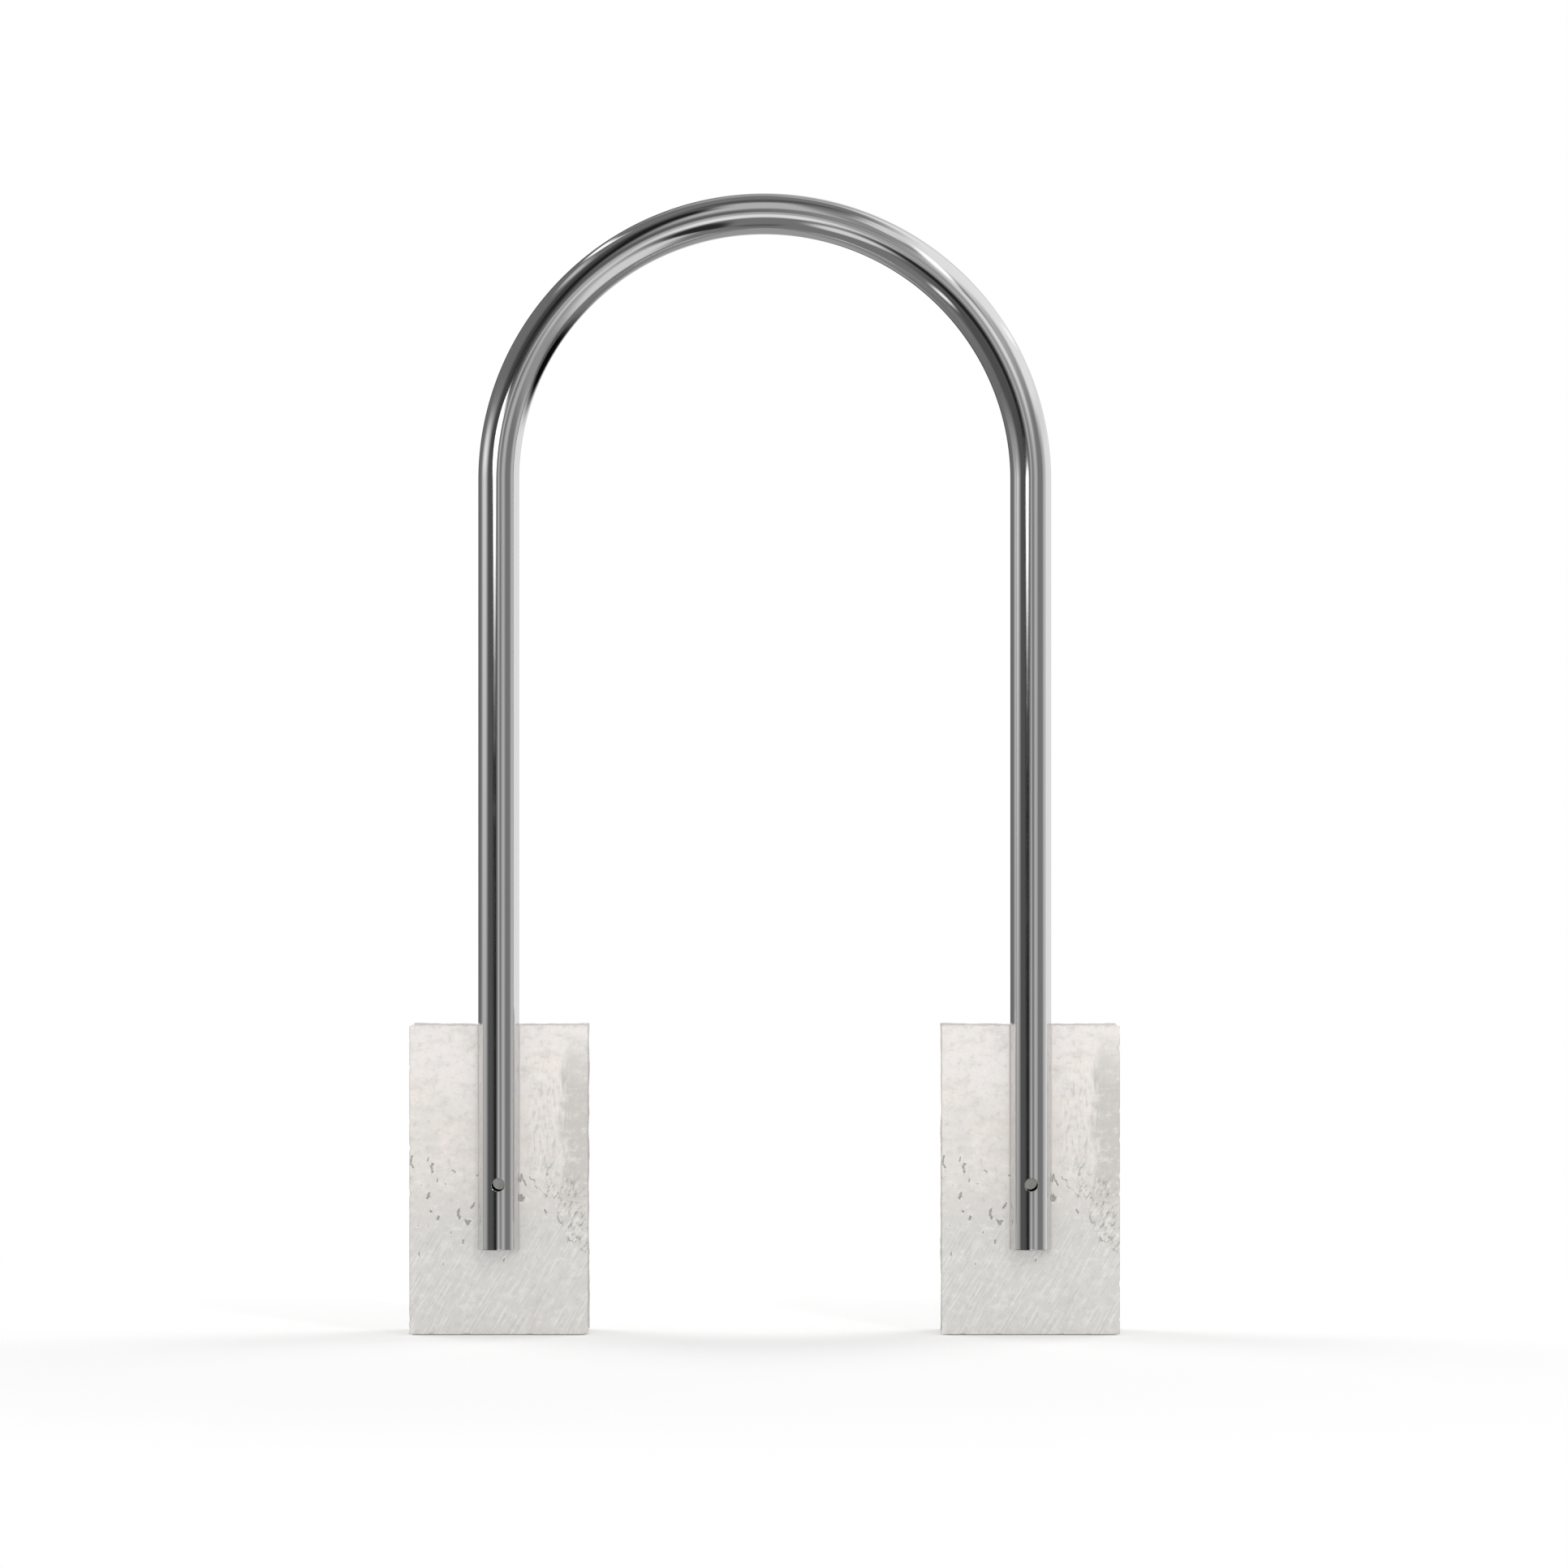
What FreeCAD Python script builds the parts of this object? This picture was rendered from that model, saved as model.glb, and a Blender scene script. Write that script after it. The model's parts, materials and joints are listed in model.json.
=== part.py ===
"""Hoop bike rack: one bent stainless steel tube set in two cast concrete footings.

Units are millimetres. +Z is up, and X runs from leg to leg. The origin is at ground level, midway between
the legs, in the plane of the hoop: the arch stands above Z = 0 and the footings lie below it.
The footings are shown cut open at the plane of the hoop, Y = 0, so the front half of each buried leg stands
clear of the concrete, and the back half lies in it.
"""
import FreeCAD, Part

import math
import os

import Sketcher

# Driving dimensions in millimetres: alias, value, meaning.
DIMENSIONS = [
    ("hoop_width", 700, "overall width of the hoop, outside to outside"),
    ("tube_diameter", 50, "outside diameter of the tube"),
    ("tube_wall", 2, "wall thickness of the tube"),
    ("rise_above_ground", 950, "top of the arch above ground level"),
    ("leg_depth", 340, "leg ends below ground level"),
    ("end_chamfer", 0.5, "chamfer that takes the burr off the sawn leg ends"),
    ("cross_hole_diameter", 16, "hole drilled front to back through each leg"),
    ("cross_hole_height", 80, "centre of that hole above the leg end"),
    ("footing_top_depth", 65, "top of the footings below ground level"),
    ("concrete_below_leg", 105, "concrete under the end of a leg"),
    ("concrete_beside_leg", 85, "concrete to the left and right of a leg"),
    ("concrete_behind_leg", 85, "concrete behind a leg"),
]

# Sizes that follow from the driving ones, as expressions on the sheet.
LEG_OFFSET = "(Sizes.hoop_width - Sizes.tube_diameter) / 2"
ARCH_CENTRE_LEVEL = "Sizes.rise_above_ground - Sizes.hoop_width / 2"
LEG_END_LEVEL = "-Sizes.leg_depth"
TUBE_BORE = "Sizes.tube_diameter - 2 * Sizes.tube_wall"
CROSS_HOLE_LEVEL = "Sizes.cross_hole_height - Sizes.leg_depth"
LEG_IN_CONCRETE = "Sizes.leg_depth - Sizes.footing_top_depth"
FOOTING_WIDTH = "Sizes.tube_diameter + 2 * Sizes.concrete_beside_leg"
FOOTING_BACK = "Sizes.tube_diameter / 2 + Sizes.concrete_behind_leg"
FOOTING_HEIGHT = "Sizes.leg_depth - Sizes.footing_top_depth + Sizes.concrete_below_leg"
FOOTING_BASE_LEVEL = "-(Sizes.leg_depth + Sizes.concrete_below_leg)"

LEFT, RIGHT = -1, 1

# How a sketch numbers its own two axes, and the points of a line or an arc.
HORIZONTAL_AXIS, VERTICAL_AXIS = range(-1, -3, -1)
START, END, CENTRE = range(1, 4)

LEVEL_TOLERANCE = 1e-6
CUBIC_MM_PER_CM3 = 1000


def make_sheet(doc):
    """Spreadsheet of the driving dimensions, one aliased cell each."""
    sheet = doc.addObject("Spreadsheet::Sheet", "Sizes")
    for row, (alias, value, meaning) in enumerate(DIMENSIONS, start=1):
        sheet.set(f"A{row}", alias)
        sheet.set(f"B{row}", str(value))
        sheet.set(f"C{row}", meaning)
        sheet.setAlias(f"B{row}", alias)
    doc.recompute()
    return sheet


def make_body(doc, name):
    """Empty body under the name of its piece."""
    body = doc.addObject("PartDesign::Body", name)
    body.Label = name
    return body


def add_sketch(body, name, plane):
    """Sketch on one of the body's own origin planes."""
    sketch = body.newObject("Sketcher::SketchObject", name)
    origin_plane = next(item for item in body.Origin.OriginFeatures if item.Role == plane)
    sketch.AttachmentSupport = [(origin_plane, "")]
    sketch.MapMode = "FlatFace"
    return sketch


def add_line(sketch, start, end):
    """Straight line in a sketch, drawn at its true place before it is constrained there."""
    return sketch.addGeometry(Part.LineSegment(FreeCAD.Vector(*start), FreeCAD.Vector(*end)), False)


def make_circle(x, y, radius):
    """Circle in the plane of a sketch."""
    return Part.Circle(FreeCAD.Vector(x, y), FreeCAD.Vector(0, 0, 1), radius)


def bind(sketch, name, expression, *constraint):
    """Adds a dimension to a sketch and binds it to an expression on the sheet."""
    value = sketch.evalExpression(expression)
    index = sketch.addConstraint(Sketcher.Constraint(*constraint, value))
    sketch.renameConstraint(index, name)
    sketch.setExpression(f"Constraints.{name}", expression)


def draw_centreline(body):
    """Path of the tube in the plane of the hoop: up the left leg, over a half circle, down the right leg."""
    sketch = add_sketch(body, "Centreline", "XZ_Plane")
    offset = sketch.evalExpression(LEG_OFFSET)
    centre_level = sketch.evalExpression(ARCH_CENTRE_LEVEL)
    end_level = sketch.evalExpression(LEG_END_LEVEL)
    left_leg = add_line(sketch, (-offset, end_level), (-offset, centre_level))
    right_leg = add_line(sketch, (offset, centre_level), (offset, end_level))
    half_circle = Part.ArcOfCircle(make_circle(0, centre_level, offset), 0, math.pi)
    arch = sketch.addGeometry(half_circle, False)
    sketch.addConstraint([
        Sketcher.Constraint("Tangent", left_leg, END, arch, END),
        Sketcher.Constraint("Tangent", arch, START, right_leg, START),
        Sketcher.Constraint("Vertical", left_leg),
        Sketcher.Constraint("Vertical", right_leg),
        Sketcher.Constraint("PointOnObject", arch, CENTRE, VERTICAL_AXIS),
    ])
    bind(sketch, "bend_radius", LEG_OFFSET, "Radius", arch)
    bind(sketch, "arch_centre", ARCH_CENTRE_LEVEL, "DistanceY", HORIZONTAL_AXIS, START, arch, CENTRE)
    bind(sketch, "left_end", LEG_END_LEVEL, "DistanceY", HORIZONTAL_AXIS, START, left_leg, START)
    bind(sketch, "right_end", LEG_END_LEVEL, "DistanceY", HORIZONTAL_AXIS, START, right_leg, END)
    return sketch


def draw_tube_section(body):
    """Ring section of the tube, square to the left leg at its end."""
    sketch = add_sketch(body, "TubeSection", "XY_Plane")
    sketch.setExpression("AttachmentOffset.Base.z", LEG_END_LEVEL)
    leg_x = -sketch.evalExpression(LEG_OFFSET)
    bore_radius = sketch.evalExpression(TUBE_BORE) / 2
    wall = sketch.evalExpression("Sizes.tube_wall")
    outside = sketch.addGeometry(make_circle(leg_x, 0, bore_radius + wall), False)
    inside = sketch.addGeometry(make_circle(leg_x, 0, bore_radius), False)
    sketch.addConstraint([
        Sketcher.Constraint("PointOnObject", outside, CENTRE, HORIZONTAL_AXIS),
        Sketcher.Constraint("Coincident", outside, CENTRE, inside, CENTRE),
    ])
    bind(sketch, "leg_place", f"-{LEG_OFFSET}", "DistanceX", HORIZONTAL_AXIS, START, outside, CENTRE)
    bind(sketch, "outside_diameter", "Sizes.tube_diameter", "Diameter", outside)
    bind(sketch, "bore_diameter", TUBE_BORE, "Diameter", inside)
    return sketch


def draw_cross_holes(body):
    """One circle on the axis of each leg, in the plane of the hoop."""
    sketch = add_sketch(body, "CrossHoleCircles", "XZ_Plane")
    offset = sketch.evalExpression(LEG_OFFSET)
    level = sketch.evalExpression(CROSS_HOLE_LEVEL)
    radius = sketch.evalExpression("Sizes.cross_hole_diameter / 2")
    for name, side in (("left", LEFT), ("right", RIGHT)):
        circle = sketch.addGeometry(make_circle(side * offset, level, radius), False)
        to_centre = HORIZONTAL_AXIS, START, circle, CENTRE
        bind(sketch, f"{name}_diameter", "Sizes.cross_hole_diameter", "Diameter", circle)
        bind(sketch, f"{name}_place", f"{side} * {LEG_OFFSET}", "DistanceX", *to_centre)
        bind(sketch, f"{name}_level", CROSS_HOLE_LEVEL, "DistanceY", *to_centre)
    return sketch


def edges_at_level(shape, level):
    """Names of the edges that lie wholly in the horizontal plane at a level."""
    return [
        f"Edge{number}" for number, edge in enumerate(shape.Edges, start=1)
        if max(abs(edge.BoundBox.ZMin - level), abs(edge.BoundBox.ZMax - level)) < LEVEL_TOLERANCE
    ]


def make_hoop_tube(doc):
    """The bent tube: a ring swept along the centreline, cross-drilled near both ends, the ends deburred."""
    body = make_body(doc, "hoop_tube")
    centreline = draw_centreline(body)
    section = draw_tube_section(body)
    doc.recompute()

    bent_tube = body.newObject("PartDesign::AdditivePipe", "BentTube")
    bent_tube.Profile = section
    stretches = range(1, len(centreline.Shape.Edges) + 1)
    bent_tube.Spine = (centreline, [f"Edge{number}" for number in stretches])
    doc.recompute()
    undrilled_volume = body.Shape.Volume

    cross_holes = body.newObject("PartDesign::Pocket", "CrossHoles")
    cross_holes.Profile = draw_cross_holes(body)
    cross_holes.Midplane = True
    cross_holes.Type = "ThroughAll"
    doc.recompute()
    if body.Shape.Volume >= undrilled_volume:
        raise RuntimeError("the cross holes cut nothing out of the legs")

    deburred_ends = body.newObject("PartDesign::Chamfer", "DeburredEnds")
    end_level = body.evalExpression(LEG_END_LEVEL)
    deburred_ends.Base = (cross_holes, edges_at_level(cross_holes.Shape, end_level))
    deburred_ends.setExpression("Size", "Sizes.end_chamfer")
    body.Tip = deburred_ends
    doc.recompute()
    return body


def draw_footing_plan(body):
    """Plan of a footing about the axis of its leg: the front edge lies in the plane of the hoop."""
    sketch = add_sketch(body, "FootingPlan", "XY_Plane")
    side_x = sketch.evalExpression(FOOTING_WIDTH) / 2
    back_y = sketch.evalExpression(FOOTING_BACK)
    front = add_line(sketch, (-side_x, 0), (side_x, 0))
    right = add_line(sketch, (side_x, 0), (side_x, back_y))
    back = add_line(sketch, (side_x, back_y), (-side_x, back_y))
    left = add_line(sketch, (-side_x, back_y), (-side_x, 0))
    sketch.addConstraint([
        Sketcher.Constraint("Coincident", front, END, right, START),
        Sketcher.Constraint("Coincident", right, END, back, START),
        Sketcher.Constraint("Coincident", back, END, left, START),
        Sketcher.Constraint("Coincident", left, END, front, START),
        Sketcher.Constraint("Horizontal", back),
        Sketcher.Constraint("Vertical", right),
        Sketcher.Constraint("Vertical", left),
        Sketcher.Constraint("Symmetric", front, START, front, END, HORIZONTAL_AXIS, START),
    ])
    bind(sketch, "width", FOOTING_WIDTH, "DistanceX", front, START, front, END)
    bind(sketch, "back", FOOTING_BACK, "DistanceY", right, START, right, END)
    return sketch


def draw_leg_outline(body):
    """Outline of the leg on the top of its footing."""
    sketch = add_sketch(body, "LegOutline", "XY_Plane")
    sketch.setExpression("AttachmentOffset.Base.z", FOOTING_HEIGHT)
    leg_radius = sketch.evalExpression("Sizes.tube_diameter / 2")
    circle = sketch.addGeometry(make_circle(0, 0, leg_radius), False)
    sketch.addConstraint(Sketcher.Constraint("Coincident", circle, CENTRE, HORIZONTAL_AXIS, START))
    bind(sketch, "leg_diameter", "Sizes.tube_diameter", "Diameter", circle)
    return sketch


def make_footing(doc, name, side):
    """Cast block behind the plane of the hoop, with the print of the leg's back half down its front."""
    body = make_body(doc, name)
    block = body.newObject("PartDesign::Pad", "Block")
    block.Profile = draw_footing_plan(body)
    block.setExpression("Length", FOOTING_HEIGHT)
    doc.recompute()
    block_volume = body.Shape.Volume

    leg_print = body.newObject("PartDesign::Pocket", "LegPrint")
    leg_print.Profile = draw_leg_outline(body)
    leg_print.setExpression("Length", LEG_IN_CONCRETE)
    body.Tip = leg_print
    doc.recompute()
    if body.Shape.Volume >= block_volume:
        raise RuntimeError(f"the leg leaves no print in {name}")

    body.setExpression("Placement.Base.x", f"{side} * {LEG_OFFSET}")
    body.setExpression("Placement.Base.z", FOOTING_BASE_LEVEL)
    doc.recompute()
    return body


def check(doc, bodies):
    """Stops the build if a feature failed, or a piece isn't one sound solid."""
    for item in doc.Objects:
        if "Invalid" in item.State or "Error" in item.State:
            raise RuntimeError(f"{item.Label} failed: {item.State}")
    for body in bodies:
        shape = body.Shape
        if shape.isNull() or not shape.isValid() or len(shape.Solids) != 1:
            raise RuntimeError(f"{body.Label} isn't one valid solid")


def main():
    doc = FreeCAD.newDocument("hoop_bike_rack")
    make_sheet(doc)
    bodies = [
        make_hoop_tube(doc),
        make_footing(doc, "left_footing", LEFT),
        make_footing(doc, "right_footing", RIGHT),
    ]
    check(doc, bodies)
    os.makedirs("parts", exist_ok=True)
    for body in bodies:
        body.Shape.exportStep(f"parts/{body.Label}.step")
        box = body.Shape.optimalBoundingBox()
        print(f"{body.Label}: {body.Shape.Volume / CUBIC_MM_PER_CM3:.1f} cm3, "
              f"X {box.XMin:.1f} to {box.XMax:.1f}, Y {box.YMin:.1f} to {box.YMax:.1f}, "
              f"Z {box.ZMin:.1f} to {box.ZMax:.1f}")


main()
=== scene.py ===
"""Hoop bike rack: a mirror-polished stainless steel hoop in two cast concrete footings.

It stands on a pale studio floor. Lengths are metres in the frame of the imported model: +Z is up, X runs from
leg to leg, and the origin is at ground level, midway between the legs. The footings are cut open at the
plane of the hoop, Y = 0.
"""

import json
import math

import bpy
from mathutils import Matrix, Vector, noise


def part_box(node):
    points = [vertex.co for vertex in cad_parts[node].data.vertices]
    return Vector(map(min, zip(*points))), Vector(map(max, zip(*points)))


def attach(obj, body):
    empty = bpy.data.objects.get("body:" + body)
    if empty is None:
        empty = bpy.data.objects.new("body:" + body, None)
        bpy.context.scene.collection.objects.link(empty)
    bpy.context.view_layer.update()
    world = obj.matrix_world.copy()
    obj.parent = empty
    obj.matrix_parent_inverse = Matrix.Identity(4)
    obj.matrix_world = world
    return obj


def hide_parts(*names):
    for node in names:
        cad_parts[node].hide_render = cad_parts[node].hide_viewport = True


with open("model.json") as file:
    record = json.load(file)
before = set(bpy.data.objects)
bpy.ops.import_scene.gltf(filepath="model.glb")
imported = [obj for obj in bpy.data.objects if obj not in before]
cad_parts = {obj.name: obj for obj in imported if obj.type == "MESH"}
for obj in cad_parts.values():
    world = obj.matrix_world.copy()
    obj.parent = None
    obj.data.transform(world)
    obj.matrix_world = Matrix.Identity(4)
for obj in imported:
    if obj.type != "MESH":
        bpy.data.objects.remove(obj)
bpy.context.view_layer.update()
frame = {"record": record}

MM = 0.001

# The hoop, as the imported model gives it.
hoop_low, hoop_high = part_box("hoop_tube")
TUBE_RADIUS = round(hoop_high.y, 4)
LEG_X = round(hoop_high.x, 4) - TUBE_RADIUS
LEG_END = round(hoop_low.z, 4)
ARCH_LEVEL = round(hoop_high.z - hoop_high.x, 3)
cross_hole = next(m for m in frame["record"]["mounts"] if m["name"] == "left_cross_hole")
HOLE_RADIUS = cross_hole["dims"]["r_mm"] * MM
HOLE_LEVEL = cross_hole["pos_m"][2]

TUBE_WALL = 2 * MM
TUBE_SIDES = 128
ARCH_STEPS = 160
HOLE_SIDES = 48
HOLE_ROW = 1.5 * MM
END_ROUNDING = 0.5 * MM
HOLE_ROUNDING = 0.3 * MM
FREE_LEG_STEPS = 8
SAME_PLACE = 0.01 * MM
RIM_TOLERANCE = 0.05 * MM

# The left footing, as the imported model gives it. The right one is its copy.
footing_low, footing_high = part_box("left_footing")
FOOTING_CENTRE = (footing_low + footing_high) / 2
FOOTING_SIZE = footing_high - footing_low
FOOTING_BASE = footing_low.z
PRINT_CLEARANCE = 0.15 * MM
PRINT_SIDES = 128
CAST_CELL = 2.4 * MM
SIDE_FACE = FOOTING_SIZE.x / 2
STROKE_LEAN = math.radians(30)

# Where the camera stood, and how it looked: a level long lens, square to the hoop, a little to its right.
IMAGE_PIXELS = 1932
PIXELS_PER_METRE = 1008.5
SENSOR_WIDTH = 0.036
CAMERA_DISTANCE = 9.3
CAMERA_LEVEL = 0.2285
HOOP_LEFT_OF_MIDDLE = 0.0235


def deselect_all():
    """Nothing stays selected, so that the next operator acts on its own piece alone."""
    bpy.ops.object.select_all(action="DESELECT")


def name_new_piece(name):
    """Names what a primitive operator has just added."""
    piece = bpy.context.active_object
    piece.name = name
    piece.data.name = name
    return piece


def make_active(piece):
    deselect_all()
    piece.select_set(True)
    bpy.context.view_layer.objects.active = piece


def apply_place(piece):
    """Leaves the object at the origin, with its place in its mesh."""
    make_active(piece)
    bpy.ops.object.transform_apply(location=True, rotation=True, scale=True)


def apply_modifier(piece, kind, **settings):
    """Adds one modifier with these settings and applies it."""
    make_active(piece)
    modifier = piece.modifiers.new(kind.lower(), kind)
    for name, value in settings.items():
        setattr(modifier, name, value)
    bpy.ops.object.modifier_apply(modifier=modifier.name)


def cut_away(piece, cutter):
    """Cuts the cutter's shape out of a piece, and removes the cutter."""
    apply_modifier(piece, "BOOLEAN", object=cutter, operation="DIFFERENCE", solver="EXACT")
    bpy.data.objects.remove(cutter)


def start_selection(piece, kind):
    """Leaves nothing selected in a piece's mesh, and sets what is picked in it: edges or faces."""
    make_active(piece)
    bpy.ops.object.mode_set(mode="EDIT")
    bpy.ops.mesh.select_mode(type=kind)
    bpy.ops.mesh.select_all(action="DESELECT")
    bpy.ops.object.mode_set(mode="OBJECT")


def select_edges(piece, wanted):
    """In edit mode with only the edges selected whose two ends satisfy a test."""
    start_selection(piece, "EDGE")
    vertices = piece.data.vertices
    for edge in piece.data.edges:
        edge.select = all(wanted(vertices[index].co) for index in edge.vertices)
    bpy.ops.object.mode_set(mode="EDIT")


def select_faces(piece, wanted):
    """In edit mode with only the faces selected whose centre satisfies a test."""
    start_selection(piece, "FACE")
    for face in piece.data.polygons:
        face.select = wanted(face.center)
    bpy.ops.object.mode_set(mode="EDIT")


def leave_edit():
    bpy.ops.object.mode_set(mode="OBJECT")


def make_triangles(piece):
    """Splits every face into triangles, so that the mesh stays closed when it is cut."""
    make_active(piece)
    bpy.ops.object.mode_set(mode="EDIT")
    bpy.ops.mesh.select_all(action="SELECT")
    bpy.ops.mesh.quads_convert_to_tris(quad_method="BEAUTY", ngon_method="BEAUTY")
    leave_edit()


# Hoop


def draw_rings(levels):
    """Extrudes the selected ring of the tube from each level to the next."""
    for start, end in zip(levels, levels[1:]):
        bpy.ops.mesh.extrude_region_move(TRANSFORM_OT_translate={"value": (0, 0, end - start)})


def leg_levels():
    """Levels of a leg's rings, from its end up: close together where the cross hole is cut."""
    reach = HOLE_RADIUS + 2 * HOLE_ROW
    rows = math.ceil(2 * reach / HOLE_ROW)
    near_hole = [HOLE_LEVEL - reach + 2 * reach * row / rows for row in range(rows + 1)]
    start, steps = near_hole[-1], range(1, FREE_LEG_STEPS + 1)
    free_leg = [start + (ARCH_LEVEL - start) * step / FREE_LEG_STEPS for step in steps]
    return [LEG_END, LEG_END + 3 * END_ROUNDING, *near_hole, *free_leg]


def make_hoop():
    """The bent tube, cross-drilled near both ends."""
    deselect_all()
    bpy.ops.mesh.primitive_circle_add(
        vertices=TUBE_SIDES, radius=TUBE_RADIUS, location=(-LEG_X, 0, LEG_END))
    hoop = name_new_piece("hoop")
    apply_place(hoop)
    bpy.ops.object.mode_set(mode="EDIT")
    bpy.ops.mesh.select_all(action="SELECT")
    levels = leg_levels()
    draw_rings(levels)
    bpy.ops.mesh.spin(steps=ARCH_STEPS, angle=-math.pi, center=(0, 0, ARCH_LEVEL), axis=(0, 1, 0))
    draw_rings(levels[::-1])
    bpy.ops.mesh.select_all(action="SELECT")
    bpy.ops.mesh.remove_doubles(threshold=SAME_PLACE)
    bpy.ops.mesh.normals_make_consistent(inside=False)
    leave_edit()
    crown = max(hoop.data.polygons, key=lambda face: face.center.z)
    if crown.normal.z < 0:
        hoop.data.flip_normals()
    apply_modifier(hoop, "SOLIDIFY", thickness=TUBE_WALL, offset=-1, use_even_offset=True)

    select_edges(hoop, lambda point: abs(point.z - LEG_END) < SAME_PLACE)
    bpy.ops.mesh.region_to_loop()
    bpy.ops.mesh.bevel(offset=END_ROUNDING, segments=3, clamp_overlap=False)
    leave_edit()
    for side in (-1, 1):
        drill_cross_hole(hoop, side * LEG_X)
    store_tube_place(hoop)
    make_active(hoop)
    bpy.ops.object.shade_smooth_by_angle(angle=math.radians(30))
    return hoop


def drill_cross_hole(hoop, leg_x):
    """Hole front to back through one leg, its four rims rounded."""
    deselect_all()
    bpy.ops.mesh.primitive_cylinder_add(
        vertices=HOLE_SIDES, radius=HOLE_RADIUS, depth=3 * TUBE_RADIUS,
        location=(leg_x, 0, HOLE_LEVEL), rotation=(math.pi / 2, 0, 0))
    cut_away(hoop, name_new_piece("drill"))

    def on_rim(point):
        from_axis = math.hypot(point.x - leg_x, point.z - HOLE_LEVEL)
        from_wall = math.hypot(point.x - leg_x, point.y)
        from_skin = min(abs(from_wall - TUBE_RADIUS), abs(from_wall - TUBE_RADIUS + TUBE_WALL))
        return abs(from_axis - HOLE_RADIUS) < RIM_TOLERANCE and from_skin < RIM_TOLERANCE

    select_edges(hoop, on_rim)
    bpy.ops.mesh.bevel(offset=HOLE_ROUNDING, segments=2)
    leave_edit()


def store_tube_place(hoop):
    """Stores where each point would lie in a straight tube: across it in X and Y, along it in Z."""
    place = hoop.data.attributes.new("tube_place", "FLOAT_VECTOR", "POINT")
    for vertex, stored in zip(hoop.data.vertices, place.data):
        x, y, z = vertex.co
        if z <= ARCH_LEVEL:
            side = math.copysign(1, x)
            stored.vector = (LEG_X - side * x, y, side * (ARCH_LEVEL - z - LEG_X * math.pi / 2))
        else:
            radius = math.hypot(x, z - ARCH_LEVEL)
            angle = math.atan2(x, z - ARCH_LEVEL)
            stored.vector = (LEG_X - radius, y, -LEG_X * angle)


# Footings

# Measures of the relief are in millimetres, and places on the cut face are given by their distance to the
# right of the leg's axis and their level above the origin.

# Marks in the cut face: half width, depth, and the points that each follows.
MARKS = [
    (1.8, 1.3, [(-106, -227), (-108, -233), (-105, -240)]),
    (1.3, 0.9, [(-86, -228), (-87, -232)]),
    (2.2, 2.0, [(-81, -236), (-83, -240), (-81, -245)]),
    (1.4, 1.1, [(-75, -255), (-75, -257)]),
    (1.3, 1.0, [(-65, -260)]),
    (1.9, 1.7, [(-85, -271), (-87, -278)]),
    (1.8, 1.5, [(-83, -294)]),
    (2.4, 2.0, [(-74, -300), (-75, -303)]),
    (2.2, 2.0, [(-48, -291), (-50, -296), (-48, -302)]),
    (2.3, 1.8, [(-40, -305), (-38, -309), (-35, -305)]),
    (2.0, 1.8, [(-30, -284), (-33, -289)]),
    (1.4, 1.0, [(-26.5, -250)]),
    (1.4, 1.2, [(-43, -329), (-44, -333)]),
    (1.1, 0.7, [(-97, -344), (-98, -348)]),
    (1.1, 0.7, [(-67, -356), (-68, -359)]),
    (1.5, 1.1, [(7, -351), (6, -354)]),
    (1.1, 0.6, [(-64, -381)]),
    (2.8, 2.3, [(27, -275), (27, -281), (30, -277)]),
    (1.5, 1.3, [(26.5, -257), (27, -249), (30, -256), (33, -261)]),
    (1.2, 0.8, [(-57, -243), (-53, -246)]),
    (1.2, 0.7, [(-95, -262)]),
    (1.1, 0.7, [(-58, -318), (-59, -321)]),
    (1.2, 0.7, [(-99, -311)]),
    (1.1, 0.6, [(18, -318)]),
    (1.6, 1.2, [(56, -292), (58, -296)]),
]

MARKED_BELOW = -222

# The line along which a thicker crust has broken off, from the leg to the right edge.
CRUST_EDGE = [
    (36, -252), (44, -260), (50, -267), (59, -278), (66, -280), (74, -279), (72, -290),
    (71, -300), (74, -310), (80, -317), (84, -330), (97, -335), (106, -345), (112, -348),
]
CRUST_HEIGHT = 1.3

# The cut face's relief is drawn about one mean depth, and then brought forward to another.
DRAWN_DEPTH, CUT_FACE_DEPTH = 1.6, 0.5
CAST_FACE_DEPTH = 2.4

# Where the trowel strokes fade out upwards, and where the raked patch fades out on its four sides.
TROWELLED_FADE = (-335, -290)
RAKED_LEFT, RAKED_RIGHT = (30, 42), (80, 92)
RAKED_BASE, RAKED_TOP = (-262, -235), (-160, -120)

# The stretch beside the leg that is meshed more finely above the marks too, for the raked patch.
FINE_STRETCH = (28, 92)


def distance_to_segment(point, start, end):
    """Distance from a point of the face to a straight stretch, and the side it lies on: + is left."""
    along = (end[0] - start[0], end[1] - start[1])
    offset = (point[0] - start[0], point[1] - start[1])
    length_squared = along[0] ** 2 + along[1] ** 2 or 1.0
    share = min(1.0, max(0.0, (offset[0] * along[0] + offset[1] * along[1]) / length_squared))
    nearest = (offset[0] - share * along[0], offset[1] - share * along[1])
    side = math.copysign(1, along[0] * offset[1] - along[1] * offset[0])
    return math.hypot(*nearest), side


def distance_to_path(point, path):
    """Distance to the nearest stretch of a path, + on its left."""
    stretches = list(zip(path, path[1:])) or [(path[0], path[0])]
    distance, side = min(distance_to_segment(point, start, end) for start, end in stretches)
    return distance * side


def smooth_step(low, high, value):
    share = min(1.0, max(0.0, (value - low) / (high - low)))
    return share * share * (3 - 2 * share)


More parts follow.
